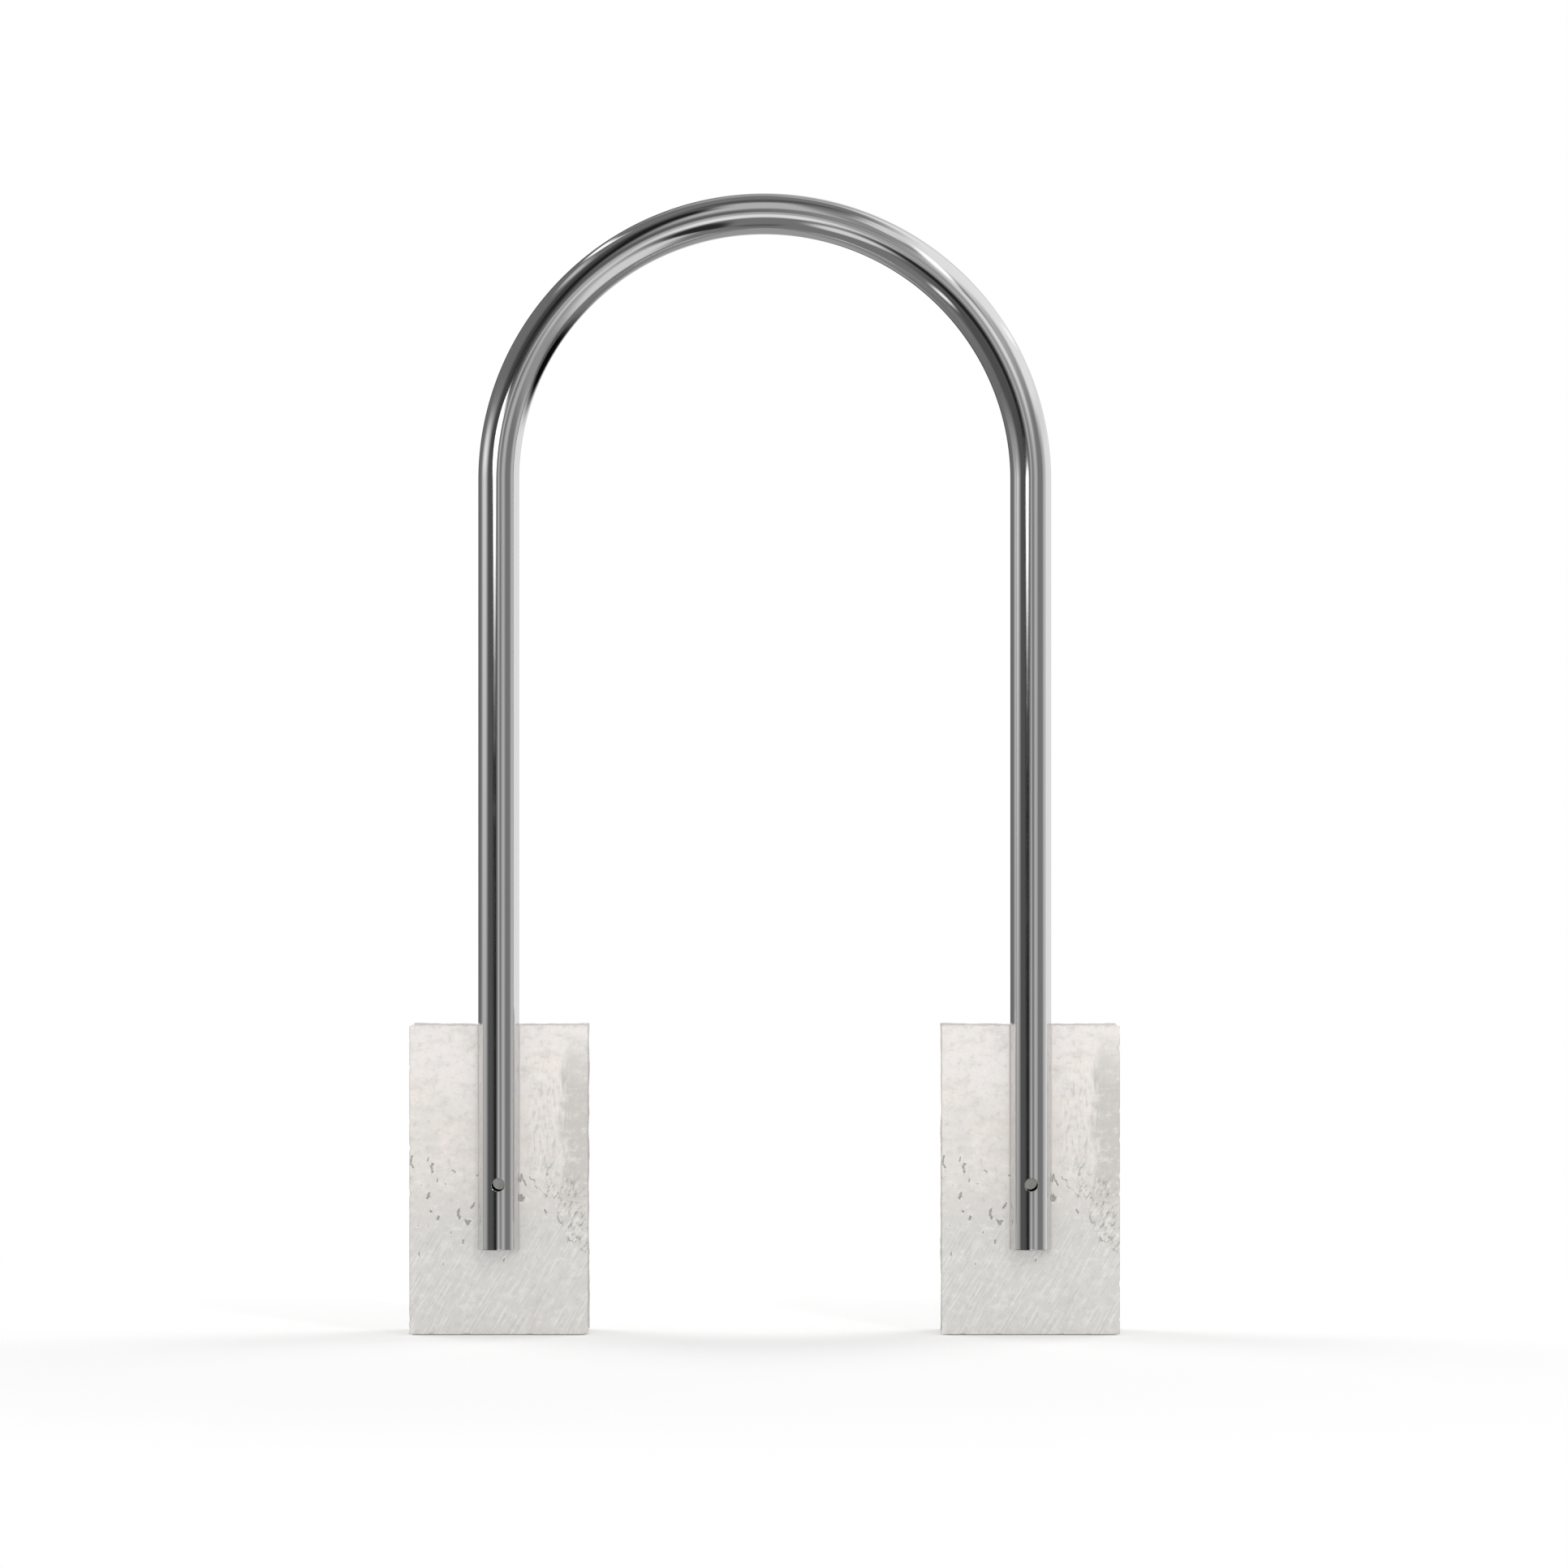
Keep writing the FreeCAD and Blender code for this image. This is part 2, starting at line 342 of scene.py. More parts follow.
def mark_depth(point, margin=0.0):
    """How deep the pits and cracks are at a point of the cut face, and how much of a mark it is, 0 to 1."""
    deepest, share = 0.0, 0.0
    for half_width, depth, path in MARKS:
        half_width += margin
        reach = 2 * half_width
        if not min(x for x, _ in path) - reach < point[0] < max(x for x, _ in path) + reach:
            continue
        if not min(z for _, z in path) - reach < point[1] < max(z for _, z in path) + reach:
            continue
        wobble = 0.7 * half_width * noise.noise(Vector((point[0], 0, point[1])) / (1.3 * half_width))
        within = 1 - smooth_step(0.1, 1.3, (abs(distance_to_path(point, path)) + wobble) / half_width)
        deepest, share = max(deepest, depth * within), max(share, within)
    return deepest, share


def cut_face_depth(x, z):
    """Drawn depth of the cut face at a point, and how much of a pit, a rim and broken crust it is."""
    place = Vector((x, 0, z))
    depth = DRAWN_DEPTH + 0.5 * noise.noise(place / 60) + 0.16 * noise.noise(place / 7)

    across = x * math.cos(STROKE_LEAN) - z * math.sin(STROKE_LEAN)
    along = x * math.sin(STROKE_LEAN) + z * math.cos(STROKE_LEAN)
    strokes = noise.noise(Vector((across / 5, 3, along / 90)))
    strokes += 0.6 * noise.noise(Vector((across / 2.3, 8, along / 60)))
    depth += 0.32 * strokes * (1 - smooth_step(*TROWELLED_FADE, z))

    raked = smooth_step(*RAKED_LEFT, x) * (1 - smooth_step(*RAKED_RIGHT, x)) * smooth_step(*RAKED_BASE, z)
    raked *= 1 - smooth_step(*RAKED_TOP, z)
    depth += 0.55 * raked * noise.noise(Vector((x / 3.2, 5, z / 14)))

    ragged = 2.4 * noise.noise(place / 7) + 1.6 * noise.noise(place / 3)
    crust = distance_to_path((x, z), CRUST_EDGE) + ragged
    on_crust = smooth_step(-0.9, 0.9, crust) * smooth_step(30, 40, x)
    broken = on_crust * (1 - smooth_step(20, 42, crust)) * smooth_step(48, 64, x)
    depth -= CRUST_HEIGHT * on_crust * (1 - smooth_step(30, 90, crust))
    depth += 1.5 * broken * noise.noise(Vector((x / 3 + z / 9, 11, z / 7)))

    pit, pit_share = mark_depth((x, z))
    rim_share = mark_depth((x, z), margin=1.2)[1]
    at_crust_edge = 1 - smooth_step(1.2, 3.0, abs(crust))
    # The crack along the crust's broken edge gets the pits' painted shade and their rims' painted highlight.
    crack = on_crust * at_crust_edge * smooth_step(-0.3, 0.3, noise.noise(place / 9))
    return depth + pit + 0.6 * crack, max(pit_share, 0.8 * crack), max(rim_share, crack), broken


def cast_face_depth(place):
    """Depth of the lumpy cast faces at a point, and how much of a small air hole it is."""
    lumps = 1.5 * noise.noise(place / 38) + 0.7 * noise.noise(place / 13) + 0.3 * noise.noise(place / 5)
    distances, points = noise.voronoi(place / 16, distance_metric="DISTANCE")
    air_hole_size = 0.20 * max(0.0, noise.noise(points[0] * 7.3))
    air_hole = 1 - smooth_step(0.6, 1.0, distances[0] / air_hole_size) if air_hole_size > 0.02 else 0.0
    return CAST_FACE_DEPTH + lumps + 1.8 * air_hole, air_hole


def chip_depth(place, half_size):
    """Depth that the arrises have lost: rounded all along, and chipped here and there."""
    gaps = sorted(half - abs(value) for half, value in zip(half_size, place))
    to_arris = math.hypot(gaps[0], gaps[1])
    chip = smooth_step(0.05, 0.45, noise.noise(place / 11 + Vector((4, 7, 1))))
    return (0.3 + 1.2 * chip) * (1 - smooth_step(0.0, 1.6 + 3.0 * chip, to_arris))


def make_footing():
    """The cast block of the left leg: remeshed evenly, given its relief, then cut to the leg."""
    deselect_all()
    bpy.ops.mesh.primitive_cube_add(size=1, location=FOOTING_CENTRE, scale=FOOTING_SIZE)
    block = name_new_piece("concrete_left")
    apply_place(block)
    apply_modifier(block, "REMESH", mode="VOXEL", voxel_size=CAST_CELL)

    def in_worked_part(centre):
        x, z = (centre.x + LEG_X) / MM, centre.z / MM
        return centre.y < CAST_CELL and (z < MARKED_BELOW or FINE_STRETCH[0] < x < FINE_STRETCH[1])

    def in_a_mark(centre):
        x, z = (centre.x + LEG_X) / MM, centre.z / MM
        if centre.y > CAST_CELL or z > MARKED_BELOW:
            return False
        return mark_depth((x, z), margin=1.5)[1] > 0 or abs(distance_to_path((x, z), CRUST_EDGE)) < 4

    for wanted in (in_worked_part, in_a_mark):
        select_faces(block, wanted)
        bpy.ops.mesh.subdivide(number_cuts=1)
        leave_edit()

    carve_relief(block)
    make_triangles(block)
    cut_leg_print(block)
    make_active(block)
    bpy.ops.object.shade_smooth_by_angle(angle=math.radians(50))
    return block


def carve_relief(block):
    """Moves each point into the block by its relief, and stores its place and what marks it."""
    half_size = FOOTING_SIZE / 2 / MM
    # The pit and rim shares stored here set where the concrete's colour gets painted shade in pits, cracks
    # and air holes, and painted highlight round them.
    stored = {"cast_place": "FLOAT_VECTOR", "pit": "FLOAT", "pit_rim_highlight": "FLOAT", "broken": "FLOAT"}
    for name, kind in stored.items():
        block.data.attributes.new(name, kind, "POINT")
    places, pits, rims, breaks = (block.data.attributes[name].data for name in stored)
    normals = [vertex.normal.copy() for vertex in block.data.vertices]
    for vertex, normal in zip(block.data.vertices, normals):
        place = (vertex.co - FOOTING_CENTRE) / MM
        x, z = (vertex.co.x + LEG_X) / MM, vertex.co.z / MM
        if normal.y < -0.5:
            depth, pit, rim, broken = cut_face_depth(x, z)
            depth -= DRAWN_DEPTH - CUT_FACE_DEPTH
            inward = Vector((0, 1, 0))
        else:
            depth, pit = cast_face_depth(place)
            rim = broken = 0.0
            inward = -normal
        chip = chip_depth(place, half_size)
        places[vertex.index].vector = (x * MM, vertex.co.y, vertex.co.z)
        pits[vertex.index].value = pit
        rims[vertex.index].value = rim
        breaks[vertex.index].value = broken
        vertex.co += (inward * depth - normal * chip) * MM
    block.data.update()


def cut_leg_print(block):
    """The round print of the leg, from the top of the block down to the leg's end."""
    deselect_all()
    top = FOOTING_BASE + FOOTING_SIZE.z + TUBE_RADIUS
    bpy.ops.mesh.primitive_cylinder_add(
        vertices=PRINT_SIDES, radius=TUBE_RADIUS + PRINT_CLEARANCE, depth=top - LEG_END,
        location=(-LEG_X, 0, (top + LEG_END) / 2))
    cut_away(block, name_new_piece("leg_shape"))


def copy_footing(block):
    """The right footing: the same casting, with its own mesh, under the other leg."""
    copy = block.copy()
    copy.data = block.data.copy()
    copy.name = copy.data.name = "concrete_right"
    bpy.context.scene.collection.objects.link(copy)
    copy.location.x = 2 * LEG_X
    apply_place(copy)
    return copy


# Materials

WHITE = (1, 1, 1, 1)


class Nodes:
    """Adds nodes to a tree in few words, and links them."""

    def __init__(self, tree):
        self.tree = tree

    def add(self, kind, inputs=None, **settings):
        node = self.tree.nodes.new(kind)
        for name, value in settings.items():
            setattr(node, name, value)
        for name, value in (inputs or {}).items():
            self.feed(node.inputs[name], value)
        return node

    def feed(self, socket, value):
        if isinstance(value, bpy.types.NodeSocket):
            self.tree.links.new(value, socket)
        else:
            socket.default_value = value

    def math(self, operation, first, second=0.0, third=0.0):
        node = self.add("ShaderNodeMath", {0: first, 1: second, 2: third}, operation=operation)
        return node.outputs["Value"]

    def product(self, first, *others):
        for other in others:
            first = self.math("MULTIPLY", first, other)
        return first

    def attribute(self, name, output):
        return self.add("ShaderNodeAttribute", attribute_name=name).outputs[output]

    def noise(self, vector, scale, detail=2.0, roughness=0.5):
        inputs = {"Vector": vector, "Scale": scale, "Detail": detail, "Roughness": roughness}
        return self.add("ShaderNodeTexNoise", inputs).outputs["Fac"]

    def stretched(self, vector, lengths, rotation=(0, 0, 0)):
        """Coordinates in which a pattern is this many times longer along three axes, and turned."""
        inputs = {"Vector": vector, "Scale": lengths, "Rotation": rotation}
        return self.add("ShaderNodeMapping", inputs, vector_type="TEXTURE").outputs["Vector"]

    def remap(self, value, from_low, from_high, to_low=0.0, to_high=1.0):
        inputs = {"Value": value, "From Min": from_low, "From Max": from_high}
        inputs.update({"To Min": to_low, "To Max": to_high})
        return self.add("ShaderNodeMapRange", inputs, interpolation_type="SMOOTHSTEP").outputs["Result"]

    def blend(self, share, first, second):
        """Mix of two colours. The node keeps its sockets for colours at these places."""
        inputs = {0: share, 6: first, 7: second}
        return self.add("ShaderNodeMix", inputs, data_type="RGBA").outputs[2]

    def blend_values(self, share, first, second):
        """Mix of two numbers. The node keeps its sockets for numbers at these places."""
        inputs = {0: share, 2: first, 3: second}
        return self.add("ShaderNodeMix", inputs, data_type="FLOAT").outputs[0]

    def tint(self, tone, share, strength, over):
        """A tone with another colour laid over it, by a share of 0 to 1 times a strength."""
        return self.blend(self.math("MULTIPLY", share, strength), tone, over)


def linear(value):
    """Linear level of an 8-bit display grey."""
    share = value / 255
    return share / 12.92 if share <= 0.04045 else ((share + 0.055) / 1.055) ** 2.4


def colour(red, green, blue):
    return linear(red), linear(green), linear(blue), 1.0


def empty_material(name):
    """Material without nodes, and the helper that adds them."""
    material = bpy.data.materials.new(name)
    material.use_nodes = True
    material.node_tree.nodes.clear()
    return material, Nodes(material.node_tree)


def new_material(name):
    """Material with a Principled shader, and the helper that adds its other nodes."""
    material, nodes = empty_material(name)
    shader = nodes.add("ShaderNodeBsdfPrincipled")
    output = nodes.add("ShaderNodeOutputMaterial")
    nodes.feed(output.inputs["Surface"], shader.outputs["BSDF"])
    return material, nodes, shader


# How much of what it mirrors the steel gives back. The level of each studio panel is divided by it.
STEEL_LEVEL = 0.72


def make_polished_stainless():
    """Mirror-polished stainless steel: polishing lines along the tube, hairline scratches, faint haze."""
    material, nodes, shader = new_material("polished_stainless")
    place = nodes.attribute("tube_place", "Vector")
    lines = nodes.noise(nodes.stretched(place, (1, 1, 80)), 1500, detail=3)
    haze = nodes.noise(place, 9, detail=3, roughness=0.6)
    smears = nodes.noise(nodes.stretched(place, (1, 1, 3)), 55, detail=2)
    around = nodes.noise(nodes.stretched(place, (25, 25, 1)), 900, detail=1)

    scratch_place = nodes.stretched(place, (1, 1.4, 18), (0.5, 0.2, 0.3))
    scratch_patches = nodes.remap(nodes.noise(place, 22), 0.55, 0.7)
    scratches = nodes.remap(nodes.noise(scratch_place, 700, detail=1), 0.72, 0.80)
    scratches = nodes.math("MULTIPLY", scratches, scratch_patches)

    roughness = nodes.remap(haze, 0.3, 0.75, 0.045, 0.07)
    roughness = nodes.math("ADD", roughness, nodes.remap(smears, 0.45, 0.75, 0.0, 0.02))
    roughness = nodes.math("MULTIPLY_ADD", nodes.math("SUBTRACT", lines, 0.5), 0.03, roughness)
    roughness = nodes.math("MULTIPLY_ADD", scratches, 0.04, roughness)
    tone = nodes.blend(haze, (0.735, 0.735, 0.73, 1), (0.705, 0.707, 0.71, 1))

    height = nodes.math("MULTIPLY_ADD", around, 0.12, lines)
    height = nodes.math("MULTIPLY_ADD", scratches, -0.5, height)
    bump = nodes.add("ShaderNodeBump", {"Height": height, "Distance": 0.002 * MM, "Strength": 0.12})
    nodes.feed(shader.inputs["Base Color"], tone)
    nodes.feed(shader.inputs["Roughness"], roughness)
    nodes.feed(shader.inputs["Normal"], bump.outputs["Normal"])
    shader.inputs["Metallic"].default_value = 1.0
    return material


# Where the concrete's tones lie on the cut face, in metres, from where each starts to where it is full: by
# level above the origin, or by distance to the right of the leg's axis.
CREAMY_LEVELS = (-0.21, -0.10)
GREYER_LEVELS = (-0.23, -0.31)
WARM_LEVELS = (-0.27, -0.16)
WARM_BLOTCH_LEVELS = (-0.32, -0.20)
GREY_BAND_LEFT = (0.072, 0.084)
GREY_BAND_BASE, GREY_BAND_TOP = (-0.31, -0.25), (-0.08, -0.14)
TROWELLED_LEVELS = (-0.28, -0.34)
STREAKS_LEFT, STREAKS_RIGHT = (0.032, 0.045), (0.092, 0.080)
STREAKS_BASE, STREAKS_TOP = (-0.26, -0.23), (-0.10, -0.14)

# How strongly the clouds shift the borders of the broad tones, up and across.
DRIFT_UP, DRIFT_ACROSS = 0.10, 0.05

# How far behind the cut face the cast sides' earthy tint starts and is full, and how far from an arris its
# darker line of painted shade does.
EARTHY_DEPTHS = (2 * MM, 6 * MM)
ARRIS_SHADE_START, ARRIS_SHADE_FULL = 2.2 * MM, 0.4 * MM


def broad_tones(nodes, place, right, level, clouds):
    """Creamy above and greyer below, with warm smears, a grey band along the right edge and blotches."""
    smears = nodes.noise(nodes.stretched(place, (2.2, 1, 0.6)), 26, detail=4, roughness=0.6)
    blotches = nodes.noise(nodes.stretched(place, (1.5, 1, 0.8)), 60, detail=3, roughness=0.55)
    drift = nodes.math("SUBTRACT", clouds, 0.5)
    level_near = nodes.math("MULTIPLY_ADD", drift, DRIFT_UP, level)
    right_near = nodes.math("MULTIPLY_ADD", drift, DRIFT_ACROSS, right)
    creamy = nodes.remap(level_near, *CREAMY_LEVELS)
    tone = nodes.blend(creamy, colour(226, 221, 217), colour(237, 232, 229))
    tone = nodes.blend(nodes.remap(level_near, *GREYER_LEVELS), tone, colour(214, 212, 208))
    warm = nodes.product(nodes.remap(smears, 0.47, 0.68), nodes.remap(level, *WARM_LEVELS))
    tone = nodes.tint(tone, warm, 0.6, colour(235, 226, 219))
    grey_band = nodes.product(
        nodes.remap(right_near, *GREY_BAND_LEFT), nodes.remap(level, *GREY_BAND_BASE),
        nodes.remap(level_near, *GREY_BAND_TOP))
    tone = nodes.tint(tone, grey_band, 0.9, colour(200, 197, 193))
    tone = nodes.blend(nodes.remap(blotches, 0.50, 0.68, 0.0, 0.40), tone, colour(206, 206, 202))
    upper = nodes.remap(level, *WARM_BLOTCH_LEVELS)
    pale_blotch = nodes.blend(upper, colour(232, 231, 227), colour(241, 233, 228))
    return nodes.blend(nodes.remap(blotches, 0.47, 0.32, 0.0, 0.40), tone, pale_blotch)


def add_speckle(nodes, tone, mottle, grain):
    """Mottle and sand grains, some darker and some lighter than the tone under them."""
    tone = nodes.blend(nodes.remap(mottle, 0.50, 0.72, 0.0, 0.55), tone, colour(196, 193, 188))
    tone = nodes.blend(nodes.remap(mottle, 0.46, 0.28, 0.0, 0.50), tone, colour(244, 241, 237))
    tone = nodes.blend(nodes.remap(grain, 0.56, 0.75, 0.0, 0.40), tone, colour(188, 185, 180))
    return nodes.blend(nodes.remap(grain, 0.44, 0.28, 0.0, 0.40), tone, colour(245, 243, 240))


def add_tool_marks(nodes, tone, strokes, trowelled, streaks, streaked):
    """Trowel strokes on the lower part, lighter where raised and darker in the grooves as painted highlight
    and shade, and raked streaks to the right of the leg.
    """
    # Painted highlight on the raised strokes and painted shade in the grooves between them.
    stroke_highlight = nodes.product(nodes.remap(strokes, 0.53, 0.66), trowelled)
    stroke_shade = nodes.product(nodes.remap(strokes, 0.45, 0.33), trowelled)
    tone = nodes.tint(tone, stroke_highlight, 0.45, colour(238, 237, 234))
    tone = nodes.tint(tone, stroke_shade, 0.35, colour(190, 189, 185))
    dark_streaks = nodes.product(nodes.remap(streaks, 0.52, 0.68), streaked)
    light_streaks = nodes.product(nodes.remap(streaks, 0.46, 0.34), streaked)
    tone = nodes.tint(tone, dark_streaks, 0.65, colour(194, 187, 181))
    return nodes.tint(tone, light_streaks, 0.5, colour(243, 238, 234))


def add_damage(nodes, tone, mottle, flakes, broken):
    """Painted highlight on the raised flakes and painted shade in the hollows where the crust has broken off,
    and dark pits with pale ragged rims: painted shade in them and painted highlight round them.
    """
    # Painted highlight on the raised flakes and painted shade in the hollows between them.
    flake_highlight = nodes.product(nodes.remap(flakes, 0.47, 0.36), broken)
    crumb_shade = nodes.product(nodes.remap(flakes, 0.52, 0.64), broken)
    tone = nodes.tint(tone, flake_highlight, 0.55, colour(240, 238, 234))
    tone = nodes.tint(tone, crumb_shade, 0.8, colour(158, 155, 149))
    # Painted shade in the pits, cracks and air holes, and painted highlight on their pale rims.
    raggedness = nodes.math("SUBTRACT", mottle, 0.5)
    ragged_pit = nodes.math("MULTIPLY_ADD", raggedness, 1.6, nodes.attribute("pit", "Fac"))
    ragged_rim = nodes.math("MULTIPLY_ADD", raggedness, 1.2, nodes.attribute("pit_rim_highlight", "Fac"))
    pit_shade = nodes.remap(ragged_pit, 0.25, 0.85)
    rim = nodes.product(nodes.remap(ragged_rim, 0.2, 0.6), nodes.math("SUBTRACT", 1.0, pit_shade))
    tone = nodes.tint(tone, rim, 0.45, colour(240, 239, 236))
    return nodes.tint(tone, pit_shade, 0.7, colour(140, 139, 135))


def arris_shade_share(nodes, right, behind_cut, level):
    """How much of an arris a point is, 0 to 1: the upright ones, and those round the base. It sets a painted
    shade line.
    """
    def at_face(position, face, inward):
        return nodes.remap(position, face + inward * ARRIS_SHADE_START, face + inward * ARRIS_SHADE_FULL)

    at_side = at_face(nodes.math("ABSOLUTE", right), SIDE_FACE, -1)
    at_base = at_face(level, FOOTING_BASE, 1)
    at_cut = at_face(behind_cut, 0, 1)
    at_back = at_face(behind_cut, FOOTING_SIZE.y, -1)
    at_cut_or_back = nodes.math("MAXIMUM", at_cut, at_back)
    upright_arris = nodes.product(at_side, at_cut_or_back)
    base_arris = nodes.product(at_base, nodes.math("MAXIMUM", at_side, at_cut_or_back))
    return nodes.math("MAXIMUM", upright_arris, base_arris)


def make_cast_concrete():
    """Pale cast concrete: broad tones, sand grains, stains and darker cast sides, with painted highlight and
    shade on the trowel strokes, broken crust and pits, and painted shade along the arrises.
    """
    material, nodes, shader = new_material("cast_concrete")
    place = nodes.attribute("cast_place", "Vector")
    broken = nodes.attribute("broken", "Fac")
    axes = nodes.add("ShaderNodeSeparateXYZ", {"Vector": place})
    right, behind_cut, level = (axes.outputs[name] for name in "XYZ")

    clouds = nodes.noise(place, 14, detail=5, roughness=0.6)
    mottle = nodes.noise(place, 110, detail=4, roughness=0.65)
    grain = nodes.noise(place, 650, detail=2, roughness=0.7)
    sand = nodes.add("ShaderNodeTexVoronoi", {"Vector": place, "Scale": 420})
    slant = (0, STROKE_LEAN, 0)
    strokes = nodes.noise(nodes.stretched(place, (1, 1, 16), slant), 420, detail=3)
    streaks = nodes.noise(nodes.stretched(place, (1, 1, 4)), 260, detail=3)
    flakes = nodes.noise(nodes.stretched(place, (1, 1, 2.4), slant), 250, detail=3, roughness=0.6)
    trowelled = nodes.remap(level, *TROWELLED_LEVELS)
    streaked = nodes.product(
        nodes.remap(right, *STREAKS_LEFT), nodes.remap(right, *STREAKS_RIGHT),
        nodes.remap(level, *STREAKS_BASE), nodes.remap(level, *STREAKS_TOP))

    tone = broad_tones(nodes, place, right, level, clouds)
    tone = add_speckle(nodes, tone, mottle, grain)
    tone = add_tool_marks(nodes, tone, strokes, trowelled, streaks, streaked)
    earthy = nodes.remap(clouds, 0.40, 0.62, 0.15, 0.5)
    tone = nodes.tint(tone, earthy, nodes.remap(behind_cut, *EARTHY_DEPTHS), colour(190, 182, 173))
    tone = add_damage(nodes, tone, mottle, flakes, broken)
    # Painted shade: a dark line along the arrises.
    tone = nodes.tint(tone, arris_shade_share(nodes, right, behind_cut, level), 0.7, colour(156, 154, 150))

    height = nodes.math("MULTIPLY_ADD", grain, 0.35, nodes.math("MULTIPLY", mottle, 0.8))
    height = nodes.math("MULTIPLY_ADD", sand.outputs["Distance"], 0.25, height)
    tooled = ((strokes, trowelled, 1.2), (streaks, streaked, 1.5), (flakes, broken, -3.0))
    for pattern, share, rise in tooled:
        height = nodes.math("MULTIPLY_ADD", nodes.product(pattern, share), rise, height)
    bump = nodes.add("ShaderNodeBump", {"Height": height, "Distance": 0.5 * MM, "Strength": 0.8})
    nodes.feed(shader.inputs["Base Color"], tone)
    nodes.feed(shader.inputs["Roughness"], nodes.remap(mottle, 0.3, 0.7, 0.82, 0.95))
    nodes.feed(shader.inputs["Normal"], bump.outputs["Normal"])
    shader.inputs["Specular IOR Level"].default_value = 0.25
    return material


# Studio

# How bright the plain soft light is on a surface that faces the camera: from all round, from the main lamp
# and from the lamp at the camera. Together they show a colour about as it is written. Two wide lamps behind
# the rack do the same for its sides and back, each with its level on a surface that faces it.
AROUND_LEVEL = 0.56
KEY_LEVEL = 0.08
FRONT_LEVEL = 0.30
BEHIND_LEVEL = 0.25
KEY_DISTANCE, KEY_SIZE = 4.0, 0.32
KEY_AZIMUTH, KEY_ELEVATION = math.radians(25.6), math.radians(28.4)
FRONT_SIZE = 0.5
BEHIND_DISTANCE, BEHIND_SIZE = 4.5, 3.2
BEHIND_AZIMUTH, BEHIND_ELEVATION = math.radians(128), math.radians(38)

# What the steel mirrors: soft panels and dark flags, painted over one another in this order. Each is the
# azimuth and elevation of its middle, its half width and half height and the width of its soft rim, all in
# degrees, then how steeply it rises to the right, and the display grey that it gives the steel. The round
# ones come last.
PANELS = [
    # Walls, ceiling and ground.
    ("left_wall", -104, 22, 70, 50, 12, 0, 105),
    ("right_wall", 108, 38, 66, 25, 8, 0, 221),
    ("right_low_wall", 123, 1, 40, 16, 10, 0, 217),
    ("back_wall", 180, 42, 26, 20, 10, 0, 150),
    ("right_wall_end", 42, 53, 20, 7, 5, 0.4, 204),
    ("left_back_dusk", -166, 2, 16, 34, 9, 0, 72),
    ("right_back_dusk", 166, 2, 16, 34, 9, 0, 200),
    ("ceiling_dusk", 0, 77, 60, 8.5, 6, 0, 80),
    ("ground_dusk", 4, -70, 14, 7, 5, 0, 88),
    ("ground_beside", 180, -78, 95, 29, 8, 0, 128),
    ("ground_behind", 180, -58, 38, 34, 8, 0, 147),
    # Left: black flags and a soft panel.
    ("left_dusk", -42, 32, 18, 34, 14, 0, 62),
    ("left_low_dusk", -50, -17, 25, 20, 10, 0, 76),
    ("black_flag", -27.5, 35, 8.5, 26, 4, 0, 29),
    ("flag_by_window", -22.5, 8, 11, 12, 5, 0, 52),
    ("left_panel", -88, 3, 22, 12, 10, 0, 160),
    # Front: narrow strips over and under one another.
    ("front_top", -1, 45, 12, 18, 6, 0, 174),
    ("front_top_right", 17, 38, 5, 16, 5, 0, 136),
    ("front_shade", -5, 13.5, 10, 6, 4, 0, 90),
    ("front_side", 9, 12, 7, 8, 5, 0, 148),
    ("strip_left", 1.5, 0, 3.8, 5.5, 3.8, 0, 172),
    ("strip_gap", 10.5, -2, 3, 4.5, 3, 0, 110),
    ("strip_right", 27, 2, 9.5, 18, 7, 0, 170),
    ("under_front", 1, -14.2, 7.2, 8.6, 4, 0, 218),
    ("under_front_right", 17, -14.5, 9, 6, 4, -0.45, 200),
    # Right: dusk beside the strips, and soft panels.
    ("right_upper_dusk", 57, 25, 14, 12, 9, 0, 158),
    ("right_dusk", 54, 0, 12.5, 20, 9, 0, 114),
    ("ground_right_near", 47, -20, 30, 8, 6, 0, 143),
    ("ground_right", 46, -44, 26, 15, 8, -0.25, 203),
    ("right_panel", 81, -3, 9, 15, 8, 0, 174),
]
ROUND_PANELS = [
    ("flag_above", -27, 50, 16, 7, 3, -0.2, 30),
    ("flag_at_ground", -18, -11, 9, 14, 5, 0, 34),
    ("window_left", -27, 6.2, 9.5, 4.6, 0.8, -0.12, 290),
    ("window_right", -19.5, 4.0, 8.5, 2.7, 0.7, 0, 290),
    ("left_panel_heart", -87, 7, 13, 6, 6, 0, 224),
    ("slim_lamp", -128, 49.5, 18, 3.4, 2, 0.48, 262),
    ("slim_lamp_glow", -90, 48.5, 18, 4, 3, 0, 182),
    ("low_spark", -53, -37.5, 8.5, 3.2, 2.5, 0.42, 240),
    ("strip_right_glow", 25, 18, 10, 9, 6, 0, 212),
    ("whitest_panel", 35, 38, 12, 5, 2.5, 0.85, 262),
    ("right_slim_lamp", 122, 28.5, 18, 1.8, 1.6, -0.28, 246),
    ("under_front_wedge", 15, -44, 8.5, 15, 5, -1.2, 38),
    ("under_front_streak", -17, -39, 8, 11.5, 5, 0.4, 204),
    ("black_low_flag", 120, -23, 38, 10.5, 5, 0.22, 10),
]
BETWEEN_PANELS = 112


def direction_vector(azimuth, elevation):
    """Unit vector from the hoop: azimuth 0 is straight in front, -Y, and grows to the right."""
    return Vector((math.sin(azimuth) * math.cos(elevation), -math.cos(azimuth) * math.cos(elevation),
                   math.sin(elevation)))


